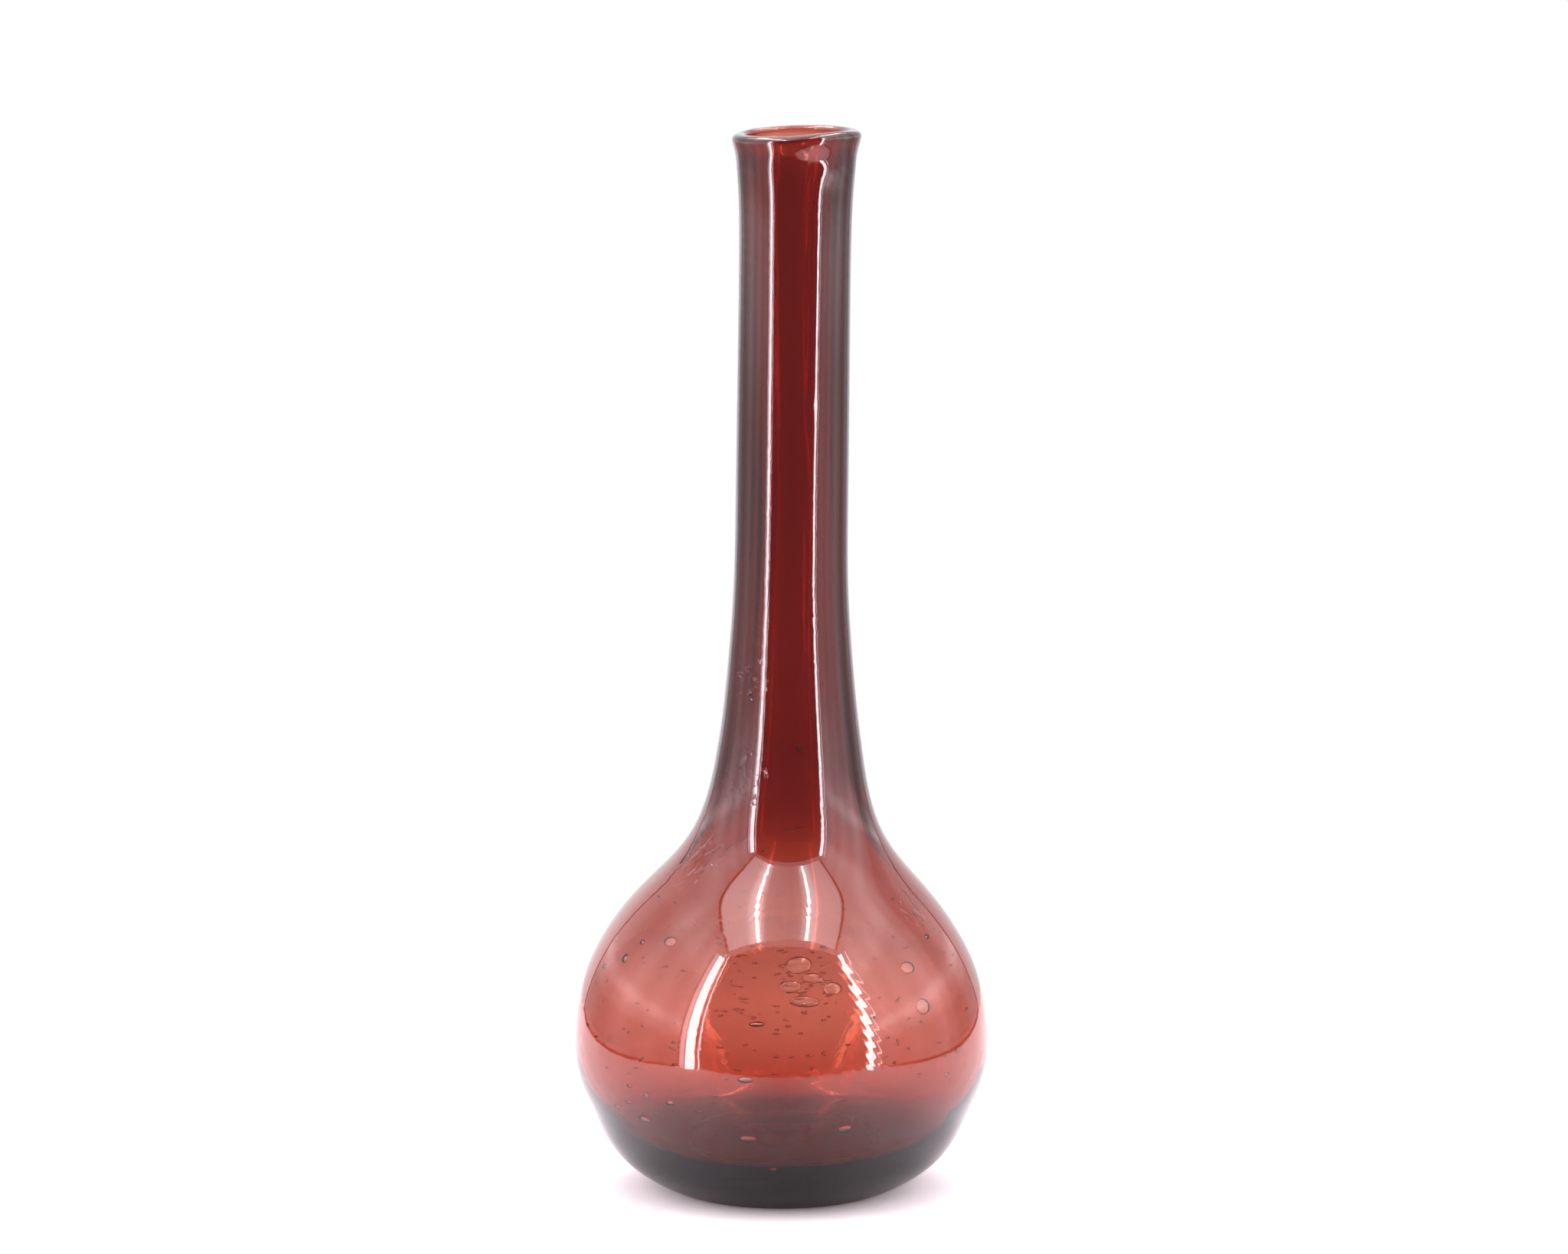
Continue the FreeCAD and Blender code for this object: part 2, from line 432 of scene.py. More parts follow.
class Nodes:
    """Short way to write a material's node tree."""

    def __init__(self, name: str) -> None:
        """Starts an empty node tree with an output.

        Args:
            name: The material's name.
        """
        self.material = bpy.data.materials.new(name)
        self.material.use_nodes = True
        self.tree = self.material.node_tree
        self.tree.nodes.clear()
        self.output = self.add("ShaderNodeOutputMaterial")

    def add(self, kind: str, **settings: object) -> bpy.types.Node:
        """Adds a node, with its own properties or, by name, its inputs.

        Args:
            kind: Blender's name of the node's type.
            **settings: Properties, or inputs with spaces written as underscores.

        Returns:
            The new node.
        """
        node = self.tree.nodes.new(kind)
        for name, value in settings.items():
            if hasattr(node, name):
                setattr(node, name, value)
            else:
                node.inputs[name.replace("_", " ")].default_value = value
        return node

    def link(self, source: bpy.types.NodeSocket, target: bpy.types.NodeSocket) -> None:
        """Joins two sockets."""
        self.tree.links.new(source, target)

    def compute(
        self, operation: str, first: bpy.types.NodeSocket, second: bpy.types.NodeSocket | float = 0.0
    ) -> bpy.types.NodeSocket:
        """Adds one step of arithmetic.

        Args:
            operation: Blender's name of the operation.
            first: Its first value.
            second: Its second value, a socket or a number.

        Returns:
            The result.
        """
        step = self.add("ShaderNodeMath", operation=operation)
        self.link(first, step.inputs[0])
        if isinstance(second, float):
            step.inputs[1].default_value = second
        else:
            self.link(second, step.inputs[1])
        return step.outputs["Value"]

    def mirrored(self, path: bpy.types.Node) -> bpy.types.NodeSocket:
        """Adds a share that is 1 for rays that a mirror has sent on, and 0 for the others."""
        return self.compute("GREATER_THAN", path.outputs["Glossy Depth"], 0.5)

    def mixed(
        self, share: bpy.types.NodeSocket, first: bpy.types.NodeSocket, second: bpy.types.NodeSocket | Colour
    ) -> bpy.types.NodeSocket:
        """Adds a mix of two colours.

        Args:
            share: How much of the second colour there is.
            first: The first colour.
            second: The second colour, a socket or the colour itself.

        Returns:
            The mixed colour.
        """
        mix = self.add("ShaderNodeMixRGB")
        self.link(share, mix.inputs["Fac"])
        self.link(first, mix.inputs["Color1"])
        if isinstance(second, tuple):
            mix.inputs["Color2"].default_value = second
        else:
            self.link(second, mix.inputs["Color2"])
        return mix.outputs["Color"]

    def bumped(
        self,
        depth: float,
        height: bpy.types.NodeSocket,
        normal: bpy.types.NodeSocket | None,
        strength: bpy.types.NodeSocket | None = None,
    ) -> bpy.types.NodeSocket:
        """Adds bumps on top of those so far.

        Args:
            depth: How deep the bumps are, in metres.
            height: Their height, from 0 to 1.
            normal: The normal so far, if there is one.
            strength: Where they are, from 0 to 1, if not everywhere.

        Returns:
            The normal with the bumps.
        """
        bump = self.add("ShaderNodeBump", Distance=depth)
        self.link(height, bump.inputs["Height"])
        if strength:
            self.link(strength, bump.inputs["Strength"])
        if normal:
            self.link(normal, bump.inputs["Normal"])
        return bump.outputs["Normal"]


@dataclass(frozen=True)
class Marks:
    """Fine marks in the skin, in soft patches, and faint between them.

    The waves and patches are counts per metre, and the edges are levels of the patches'
    noise between which the marks go from faint to full.
    """

    waves: tuple[float, float, float]
    depth: float
    turn: tuple[float, float, float]
    patches: float
    edges: tuple[float, float] = (0.46, 0.64)
    faint: float = 0.10

    def add_to(
        self, nodes: Nodes, where: bpy.types.NodeSocket, normal: bpy.types.NodeSocket | None
    ) -> bpy.types.NodeSocket:
        """Adds the marks to a glass.

        Args:
            nodes: The glass's node tree.
            where: Place in the vase, in metres.
            normal: The normal so far, if there is one.

        Returns:
            The normal with the marks.
        """
        place = nodes.add("ShaderNodeMapping", vector_type="TEXTURE")
        place.inputs["Rotation"].default_value = self.turn
        place.inputs["Scale"].default_value = tuple(1.0 / waves for waves in self.waves)
        nodes.link(where, place.inputs["Vector"])
        waves = nodes.add("ShaderNodeTexNoise", Scale=1.0, Detail=1.0)
        nodes.link(place.outputs["Vector"], waves.inputs["Vector"])
        patch = nodes.add("ShaderNodeTexNoise", Scale=self.patches, Detail=1.0)
        nodes.link(where, patch.inputs["Vector"])
        low, high = self.edges
        edge = nodes.add("ShaderNodeMapRange", From_Min=low, From_Max=high, To_Min=self.faint, To_Max=1.0)
        nodes.link(patch.outputs[0], edge.inputs["Value"])
        height = nodes.compute("MULTIPLY", waves.outputs[0], edge.outputs["Result"])
        return nodes.bumped(self.depth, height, normal)


@dataclass(frozen=True)
class Patch:
    """A round patch of the skin that has marks of its own; its place and reach in metres."""

    centre: tuple[float, float, float]
    reach: float

    def share(self, nodes: Nodes, where: bpy.types.NodeSocket) -> bpy.types.NodeSocket:
        """Adds a share that is 1 in the middle of the patch and 0 beyond its reach.

        Args:
            nodes: The glass's node tree.
            where: Place in the vase, in metres.

        Returns:
            The share.
        """
        away = nodes.add("ShaderNodeVectorMath", operation="DISTANCE")
        nodes.link(where, away.inputs[0])
        away.inputs[1].default_value = self.centre
        fade = nodes.add("ShaderNodeMapRange", interpolation_type="SMOOTHSTEP", To_Min=1.0, To_Max=0.0)
        fade.inputs["From Min"].default_value = 0.5 * self.reach
        fade.inputs["From Max"].default_value = self.reach
        nodes.link(away.outputs["Value"], fade.inputs["Value"])
        return fade.outputs["Result"]


@dataclass(frozen=True)
class ToolMarks(Patch):
    """A patch of close, slanted ridges that a tool left in the skin.

    The slant is in radians, the spacing and depth are in metres, and the wander says how
    far and how slowly the ridges stray from straight lines.
    """

    slant: float
    spacing: float
    depth: float
    wander: float = 3.0
    wander_scale: float = 0.6

    def add_to(
        self, nodes: Nodes, where: bpy.types.NodeSocket, normal: bpy.types.NodeSocket
    ) -> bpy.types.NodeSocket:
        """Adds the ridges to a glass.

        Args:
            nodes: The glass's node tree.
            where: Place in the vase, in metres.
            normal: The normal so far.

        Returns:
            The normal with the ridges.
        """
        turn = nodes.add("ShaderNodeMapping", vector_type="POINT")
        turn.inputs["Rotation"].default_value = (0.0, self.slant, 0.0)
        nodes.link(where, turn.inputs["Vector"])
        ridges = nodes.add("ShaderNodeTexWave", bands_direction="Z", Distortion=self.wander, Detail=1.0)
        ridges.inputs["Scale"].default_value = math.pi / (10.0 * self.spacing)
        ridges.inputs["Detail Scale"].default_value = self.wander_scale
        nodes.link(turn.outputs["Vector"], ridges.inputs["Vector"])
        return nodes.bumped(self.depth, ridges.outputs["Fac"], normal, self.share(nodes, where))


@dataclass(frozen=True)
class Scuffs(Patch):
    """A patch of small pits from handling; grain and depth in metres.

    The edges are levels of the noise between which a pit goes down.
    """

    grain: float = 0.0024
    depth: float = 150e-6
    edges: tuple[float, float] = (0.57, 0.66)

    def add_to(
        self, nodes: Nodes, where: bpy.types.NodeSocket, normal: bpy.types.NodeSocket
    ) -> bpy.types.NodeSocket:
        """Adds the pits to a glass.

        Args:
            nodes: The glass's node tree.
            where: Place in the vase, in metres.
            normal: The normal so far.

        Returns:
            The normal with the pits.
        """
        grain = nodes.add("ShaderNodeTexNoise", Scale=1.0 / self.grain, Detail=2.0)
        nodes.link(where, grain.inputs["Vector"])
        pits = nodes.add("ShaderNodeMapRange", From_Min=self.edges[0], From_Max=self.edges[1])
        nodes.link(grain.outputs[0], pits.inputs["Value"])
        return nodes.bumped(self.depth, pits.outputs["Result"], normal, self.share(nodes, where))


@dataclass(frozen=True)
class GlassFinish:
    """Clear glass that is coloured all through, and absorbs along the light's path."""

    name: str
    absorbed_colour: Colour = (0.735, 0.220, 0.045, 1.0)
    density: float = 800.0
    ior: float = 1.5
    roughness: float = 0.0
    haze: float = 0.10
    haze_roughness: float = 0.12
    marks: tuple[Marks, ...] = (
        Marks((110.0, 110.0, 560.0), 50e-6, (0.0, 0.75, 0.3), 30.0),
        Marks((200.0, 200.0, 1700.0), 4e-6, (0.0, 0.95, 0.3), 60.0),
    )
    tooled: tuple[ToolMarks, ...] = (
        ToolMarks((0.022, -0.054, 0.059), 0.022, -0.75, 0.0021, 12e-6),
        ToolMarks((0.0072, -0.042, 0.090), 0.0075, -0.80, 0.0013, 4e-6),
        ToolMarks((-0.0085, -0.041, 0.090), 0.0075, 0.80, 0.0013, 4e-6),
    )
    scuffs: tuple[Scuffs, ...] = (
        Scuffs((-0.026, -0.022, 0.102), 0.014),
        Scuffs((0.039, -0.022, 0.087), 0.009),
        Scuffs((-0.0125, -0.020, 0.121), 0.011),
        Scuffs((-0.0095, -0.014, 0.148), 0.008),
    )

    def material(self) -> bpy.types.Material:
        """Makes the glass with its fine marks and the haze of handling.

        Returns:
            The glass.
        """
        nodes = Nodes(self.name)
        glass = nodes.add("ShaderNodeBsdfPrincipled", Base_Color=(1.0, 1.0, 1.0, 1.0), IOR=self.ior)
        glass.inputs["Transmission Weight"].default_value = 1.0
        glass.inputs["Roughness"].default_value = self.roughness
        glass.inputs["Coat Weight"].default_value = self.haze
        glass.inputs["Coat Roughness"].default_value = self.haze_roughness
        depth = nodes.add("ShaderNodeVolumeAbsorption", Color=self.absorbed_colour, Density=self.density)
        nodes.link(self.marked(nodes), glass.inputs["Normal"])
        nodes.link(glass.outputs["BSDF"], nodes.output.inputs["Surface"])
        nodes.link(depth.outputs["Volume"], nodes.output.inputs["Volume"])
        return nodes.material

    def marked(self, nodes: Nodes) -> bpy.types.NodeSocket:
        """Adds the fine marks, the tool marks and the scuffs.

        Args:
            nodes: The glass's node tree.

        Returns:
            The marked normal.
        """
        where = nodes.add("ShaderNodeTexCoord").outputs["Object"]
        normal = None
        for marks in self.marks + self.tooled + self.scuffs:
            normal = marks.add_to(nodes, where, normal)
        return normal


@dataclass
class VaseGlass:
    """The blown bubble of glass: base, bulb, neck and lip in one closed skin.

    Ripples rise from nothing over the height of calm_foot, and fade over that of
    calm_rim to their shares at the rim, outside and in the mouth. What changes the inside
    wall starts below the crest by calm_crest. All lengths are in millimetres.
    """

    sizes: VaseSizes = field(default_factory=VaseSizes)
    segments: int = 220
    calm_foot: float = 20.0
    calm_rim: float = 9.2
    calm_crest: float = 1.84
    rim_ripple: float = 0.3
    mouth_ripple: float = 0.1
    outside: Ripples = Ripples(3, (2, 3, 4), 0.05, 150.0)
    inside: Ripples = Ripples(11, (2, 3, 5), 0.10, 260.0)
    cords: Ripples = Ripples(17, (6, 9, 11, 14, 17), 0.16, 420.0)
    cords_from: float = 62.0
    cords_rise: float = 50.0
    thicker: tuple[Thicker, ...] = (
        Thicker(7.0, 12.0, 1.9),
        Thicker(55.0, 26.0, -0.28),
        Thicker(118.0, 18.0, 1.25),
    )
    dents: tuple[Dent, ...] = (
        Dent(19.0, 291.0, 23.0, 3.6, 1.15),
        Dent(23.5, 224.6, 4.0, 1.1, 0.07),
    )
    inner_dents: tuple[Dent, ...] = (
        Dent(197.0, 300.0, 75.0, 5.5, 2.8),
        Dent(0.0, 21.0, 42.0, 10.0, -1.3),
    )

    def lean_at(self, height: float) -> float:
        """How far the centre line stands over at a height.

        Args:
            height: Height in millimetres.

        Returns:
            Millimetres towards +X.
        """
        heights = [share * self.sizes.overall_height for share, lean in LEAN_SHARES]
        leans = [lean * self.sizes.neck_lean for share, lean in LEAN_SHARES]
        return float(np.interp(height, heights, leans))

    def inside_lean_at(self, height: float) -> float:
        """The same for the inside, which stands upright along its straight bore.

        Args:
            height: Height in millimetres.

        Returns:
            Millimetres towards +X.
        """
        low, high = (self.neck_height(share) for share in UPRIGHT_SHARES)
        if low <= height <= high:
            return self.lean_at(self.neck_height(sum(BORE_SHARES) / 2))
        return self.lean_at(height)

    def rim_slope_at(self, height: float) -> float:
        """How the rim is tilted.

        Args:
            height: Height in millimetres.

        Returns:
            Rise per millimetre towards +X: nothing in the neck, all of it at the crest.
        """
        start = self.sizes.tilt_from_share * self.sizes.overall_height
        share = max(0.0, (height - start) / (self.sizes.crest - start))
        return self.sizes.lip_rise / self.sizes.lip_radius * share

    def neck_height(self, share: float) -> float:
        """Height of a share of the neck's length above its root."""
        return self.sizes.bulb_height + share * (self.sizes.crest - self.sizes.bulb_height)

    def bulb_outside(self) -> list[tuple[float, float]]:
        """Rows up the outside of the bulb, from the heel."""
        return [(r * self.sizes.bulb_radius, h * self.sizes.bulb_height) for r, h in BULB_SHARES]

    def neck_outside(self) -> list[tuple[float, float]]:
        """Rows up the outside of the neck, to below the lip."""
        return [(r * self.sizes.neck_radius, self.neck_height(h)) for r, bore, h in NECK_SHARES]

    def neck_inside(self, low: float, high: float) -> list[tuple[float, float]]:
        """Rows up the inside of the neck, between two shares of its length."""
        rows = [row for row in NECK_SHARES if low <= row[2] <= high]
        return [(bore * self.sizes.bore_radius, self.neck_height(h)) for r, bore, h in rows]

    def bulb_inside(self) -> list[tuple[float, float]]:
        """The bulb's rows above the heel, moved in by the wall.

        Returns:
            Radius and height of each row, in millimetres.
        """
        line = self.bulb_outside() + self.neck_outside()
        rows = []
        for before, (radius, height), after, share in zip(line, line[1:], line[2:], BULB_WALL_SHARES):
            run = after[0] - before[0]
            rise = after[1] - before[1]
            inset = share * self.sizes.bulb_wall / math.hypot(run, rise)
            rows.append((radius - inset * rise, height + inset * run))
        return rows

    def rows(self, skin: Skin) -> list[tuple[float, float]]:
        """Rows of one side of the glass, in the order that the skin is walked.

        Args:
            skin: Underside, outside, mouth or inside.

        Returns:
            Radius and height of each row, in millimetres.
        """
        s = self.sizes
        crest_row = (s.lip_radius - s.crest_share * s.lip_wall, s.crest)
        if skin is Skin.UNDERSIDE:
            edge = s.ring_radius - s.ring_width / 2
            span = edge - s.mark_radius
            turn, rise = HOLLOW_TURN_SHARES
            return [
                (s.mark_radius, s.hollow_depth),
                (s.mark_radius + turn * span, s.hollow_depth),
                (edge - turn * span, rise * s.hollow_depth),
                (edge, 0.0),
            ]
        if skin is Skin.OUTSIDE:
            edge = s.ring_radius + s.ring_width / 2
            rows = [(edge, 0.0), (edge + s.ring_width, 0.0)] + self.bulb_outside() + self.neck_outside()
            rows += [(share * s.lip_radius, s.crest - drop * s.lip_wall) for share, drop in LIP_SHARES]
            return rows + [crest_row]
        if skin is Skin.MOUTH:
            mouth = s.lip_radius - s.lip_wall
            rows = self.neck_inside(BORE_SHARES[1], 1.0)
            rows += [(share * mouth, s.crest - drop * s.lip_wall) for share, drop in MOUTH_SHARES]
            return (rows + [crest_row])[::-1]
        floor = s.hollow_depth + s.base_thickness
        rows = [(s.floor_flat_share * s.bulb_radius, floor)]
        rows += [(share * s.bulb_radius, floor) for share in FLOOR_TURN_SHARES]
        return (rows + self.bulb_inside() + self.neck_inside(0.0, BORE_SHARES[0]))[::-1]

    def outline(self, skin: Skin, count: int) -> np.ndarray:
        """Outline points of one side: radius, height, centre and rim rise, in millimetres.

        Args:
            skin: The side of the glass.
            count: How many points to give.

        Returns:
            The points, in the order that the skin is walked.
        """
        centre_at = self.lean_at if skin in (Skin.UNDERSIDE, Skin.OUTSIDE) else self.inside_lean_at
        steered = [
            (radius, height, centre_at(height), self.rim_slope_at(height) * radius)
            for radius, height in self.rows(skin)
        ]
        return evenly_spaced(spline_points(np.array(steered), DENSE * count), count)

    def straight_bore(self, count: int) -> np.ndarray:
        """Points down the straight bore, without its two ends.

        Args:
            count: How many points to give.

        Returns:
            The points: radius, height, centre and rim rise, in millimetres.
        """
        high, low = (self.neck_height(share) for share in BORE_SHARES[::-1])
        points = np.zeros((count, 4))
        points[:, 0] = self.sizes.bore_radius
        points[:, 1] = np.linspace(high, low, count + 2)[1:-1]
        points[:, 2] = self.inside_lean_at(high)
        return points

    def lines(self) -> list[tuple[Skin, np.ndarray]]:
        """The outline's parts in the order that the skin is walked.

        Returns:
            The side of the glass and the points of each part.
        """
        return [
            (Skin.UNDERSIDE, self.outline(Skin.UNDERSIDE, 14)),
            (Skin.OUTSIDE, self.outline(Skin.OUTSIDE, 176)),
            (Skin.MOUTH, self.outline(Skin.MOUTH, 36)[1:]),
            (Skin.INSIDE, self.straight_bore(14)),
            (Skin.INSIDE, self.outline(Skin.INSIDE, 108)),
        ]

    def skin_points(self) -> list[np.ndarray]:
        """Rings of points over the whole skin, from under the base to the floor inside.

        Returns:
            One array of points for each ring, in millimetres.
        """
        angle = np.linspace(0.0, 2.0 * math.pi, self.segments, endpoint=False)
        rings = []
        for skin, line in self.lines():
            slopes = np.gradient(line[:, :2], axis=0)
            slopes /= np.hypot(slopes[:, 0], slopes[:, 1])[:, None]
            for (radius, height, centre, rise), (run, climb) in zip(line, slopes):
                push = self.push(skin, angle, radius, height)
                out = radius + push * climb
                x = centre + out * np.cos(angle)
                z = height + rise * np.cos(angle) - push * run + self.rim_wave(angle, height)
                rings.append(np.stack([x, out * np.sin(angle), z], axis=1))
        return rings

    def rim_wave(self, angle: np.ndarray, height: float) -> np.ndarray:
        """How far the reheated rim sagged or rose.

        Args:
            angle: Angles round the ring, in radians from +X.
            height: The ring's height in millimetres.

        Returns:
            Millimetres at each angle, positive upward.
        """
        share = max(0.0, 1.0 - (self.sizes.crest - height) / RIM_WAVE_DEPTH)
        turn = np.degrees(angle)
        wave = np.interp(turn, [a for a, z in RIM_WAVE], [z for a, z in RIM_WAVE], period=360.0)
        return wave * share * share * (3.0 - 2.0 * share)

    def push(self, skin: Skin, angle: np.ndarray, radius: float, height: float) -> np.ndarray:
        """How far the blowing moved the skin out of the glass at one ring.

        Args:
            skin: The side of the glass.
            angle: Angles round the ring.
            radius: The ring's radius in millimetres.
            height: The ring's height in millimetres.

        Returns:
            Millimetres, positive out of the glass.
        """
        s = self.sizes
        if skin is Skin.UNDERSIDE:
            return np.zeros_like(angle)
        below_rim = rising(s.crest - height, self.calm_rim)
        if skin is Skin.OUTSIDE:
            ripple = (self.outside.at(angle, height) - self.outside.size) * rising(height, self.calm_foot)
            ripple *= self.rim_ripple + (1.0 - self.rim_ripple) * below_rim
            return ripple + sum(dent.at(angle, height) for dent in self.dents)
        corded = rising(height - self.cords_from, self.cords_rise)
        ripple = self.inside.at(angle, height) + self.cords.at(angle, height) * corded
        ripple *= self.mouth_ripple + (1.0 - self.mouth_ripple) * below_rim
        off_axis = rising(radius, s.bore_radius)
        settled = min(off_axis, (s.crest - height) / self.calm_crest)
        sunk = sum(place.at(height) for place in self.thicker)
        sunk += sum(dent.at(angle, height) for dent in self.inner_dents)
        return ripple * off_axis + sunk * settled

    def build(self) -> bpy.types.Object:
        """Makes the closed skin as one mesh.

        Returns:
            The vase's object.
        """
        rings = self.skin_points()
        low = (0.0, 0.0, self.sizes.hollow_depth)
        high = (0.0, 0.0, self.sizes.hollow_depth + self.sizes.base_thickness)
        points = np.concatenate([[low], *rings, [high]]) * MM
        n = self.segments
        top = len(points) - 1
        faces = [(0, 1 + (i + 1) % n, 1 + i) for i in range(n)]
        for ring in range(len(rings) - 1):
            a, b = 1 + ring * n, 1 + (ring + 1) * n
            faces += [(a + i, a + (i + 1) % n, b + (i + 1) % n, b + i) for i in range(n)]
        last = 1 + (len(rings) - 1) * n
        faces += [(last + i, last + (i + 1) % n, top) for i in range(n)]
        points, faces = self.with_bubbles(points, faces)
        mesh = bpy.data.meshes.new("vase_glass_skin")
        mesh.from_pydata(points.tolist(), [], faces)
        mesh.update()
        mesh.shade_smooth()
        return new_piece("vase_glass_skin", mesh)

    def with_bubbles(self, points: np.ndarray, faces: list) -> tuple[np.ndarray, list]:
        """Adds the seeds and blisters as closed hollows inside the wall.

        Args:
            points: Points of the skin, in metres.
            faces: Faces of the skin.

        Returns:
            The points and faces of the skin and of all the hollows.
        """
        outer = np.concatenate([line for skin, line in self.lines() if skin is Skin.OUTSIDE])
        inner = np.concatenate([line for skin, line in self.lines() if skin in (Skin.MOUTH, Skin.INSIDE)])
        outer, inner = (line[np.argsort(line[:, 1], kind="stable")] for line in (outer, inner[::-1]))
        balls = {rounds: self.ball(rounds) for rounds in (1, 2, 3)}
        bubbles = list(BLISTERS)
        for strewn in SEED_FIELDS:
            bubbles += strewn.bubbles()
        clouds = [points]
        count = len(points)
        for bubble in bubbles:
            shape, sides = balls[bubble.rounds]
            clouds.append(self.placed(bubble, shape, outer, inner) * MM)
            faces += [tuple(corner + count for corner in side) for side in sides]
            count += len(shape)
        return np.concatenate(clouds), faces

    @staticmethod
    def ball(rounds: int) -> tuple[np.ndarray, list[tuple[int, int, int]]]:
        """A ball of half a unit's radius whose faces look inward, into the hollow.

        Args:
            rounds: How often its faces are divided.

        Returns:
            The ball's points and faces.
        """
        shell = bmesh.new()
        bmesh.ops.create_icosphere(shell, subdivisions=rounds, radius=0.5)
        shape = np.array([vert.co[:] for vert in shell.verts])
        sides = [tuple(vert.index for vert in face.verts)[::-1] for face in shell.faces]
        shell.free()
        return shape, sides

    @staticmethod
    def placed(bubble: Bubble, shape: np.ndarray, outer: np.ndarray, inner: np.ndarray) -> np.ndarray:
        """Puts a bubble's ball into the wall.

        Args:
            bubble: Where and how large the bubble is.
            shape: The ball's points.
            outer: The outside's outline, from the ring up.
            inner: The inside's outline, from the floor up.

        Returns:
            The ball's points in millimetres.
        """
        out = np.array([np.interp(bubble.height, outer[:, 1], outer[:, column]) for column in (0, 2)])
        into = np.array([np.interp(bubble.height, inner[:, 1], inner[:, column]) for column in (0, 2)])
        radius, centre = out + (into - out) * bubble.depth
        rise = 2.0 * SLOPE_STEP
        run = np.interp(bubble.height + SLOPE_STEP, outer[:, 1], outer[:, 0])
        run -= np.interp(bubble.height - SLOPE_STEP, outer[:, 1], outer[:, 0])
        slope = math.hypot(run, rise)
        turn = math.radians(bubble.angle - 90.0)
        away = np.array([math.cos(turn), math.sin(turn), 0.0])
        level = np.array([-math.sin(turn), math.cos(turn), 0.0])
        upward = away * run / slope + np.array([0.0, 0.0, rise / slope])
        normal = np.cross(level, upward)
        tilt = math.radians(bubble.tilt)
        along = level * math.cos(tilt) + upward * math.sin(tilt)
        across = upward * math.cos(tilt) - level * math.sin(tilt)
        wall = abs(out[0] - into[0]) * rise / slope
        thick = min(bubble.thickness, BUBBLE_ROOM * wall * min(bubble.depth, 1.0 - bubble.depth))
        axes = np.stack([along * bubble.length, across * bubble.width, normal * thick])
        return away * radius + np.array([centre, 0.0, bubble.height]) + shape @ axes

    def dress(self) -> bpy.types.Object:
        """Builds the skin, gives it its glass and puts it in place of the solid.

        Returns:
            The dressed piece.
        """
        piece = self.build()
        piece.data.materials.append(GlassFinish("red_glass").material())
        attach(piece, BODY)
        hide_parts("vase_glass")
        return piece


@dataclass
class PuntyScar:
    """Rough low scar that the punty left in the middle of the hollow.

    Its broken face stands at the crown's share of its height, with chips and grit, and
    is deepest in the middle. Rows of radius and depth, as shares, turn it over its worn
    edge. Lengths are in millimetres.
    """

    sizes: VaseSizes = field(default_factory=VaseSizes)
    segments: int = 96
    rings: int = 14
    seed: int = 5
    ripples: Ripples = Ripples(21, (3, 5, 8, 13), 0.30, 40.0)
    worn_edge: tuple[tuple[float, float], ...] = ((1.0, 0.0), (0.99, 0.35), (0.95, 0.7), (0.90, 0.9))
    face: float = 0.85
    gap: float = 0.02
    crown: float = 0.86
    chips: float = 0.12
    chip_height: float = 40.0
    edge_wave: float = 0.02
    grit: float = 0.05
    middle: float = 0.2

    def build(self) -> bpy.types.Object:
        """Makes the scar as a closed, broken-edged disc.

        Returns:
            The scar's object.
        """
        s = self.sizes
        draw = random.Random(self.seed)
        angle = np.linspace(0.0, 2.0 * math.pi, self.segments, endpoint=False)
        top = s.hollow_depth - self.gap
        low = s.hollow_depth - s.mark_thickness
        points = [(0.0, 0.0, top)]
        edge = s.mark_radius * (1.0 + self.edge_wave * (self.ripples.at(angle, 0.0) - 1.0))
        profile = [*self.worn_edge, *((self.face * (1.0 - k / self.rings), 1.0) for k in range(self.rings))]
        for share, depth in profile:
            chip = self.chips * self.ripples.at(angle, self.chip_height * share) * depth
            z = top - (top - low) * depth * (self.crown + chip)
            for a, r, level in zip(angle, edge * share, z):
                grit = self.grit * draw.uniform(-1.0, 1.0) * depth
                points.append((r * math.cos(a), r * math.sin(a), max(low, level + grit)))
        points.append((0.0, 0.0, low + self.middle))
        n = self.segments
        faces = [(0, 1 + i, 1 + (i + 1) % n) for i in range(n)]
        for ring in range(len(profile) - 1):
            a, b = 1 + ring * n, 1 + (ring + 1) * n
            faces += [(a + (i + 1) % n, a + i, b + i, b + (i + 1) % n) for i in range(n)]
        last = 1 + (len(profile) - 1) * n
        faces += [(last + (i + 1) % n, last + i, len(points) - 1) for i in range(n)]
        mesh = bpy.data.meshes.new("punty_scar")
        mesh.from_pydata([tuple(c * MM for c in p) for p in points], [], faces)
        mesh.update()
        return new_piece("punty_scar", mesh)

    def dress(self) -> bpy.types.Object:
        """Builds the scar, gives it rough glass and puts it in place of the solid.

        Returns:
            The dressed piece.
        """
        piece = self.build()
        piece.data.materials.append(GlassFinish("scar_glass", roughness=0.25).material())
        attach(piece, BODY)
        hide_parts("punty_mark")
        return piece


@dataclass(frozen=True)
class Shading:
    """How a sheet's glow changes along one direction: places and shares, from 0 to 1."""

    along: Axis
    stops: tuple[tuple[float, float], ...]


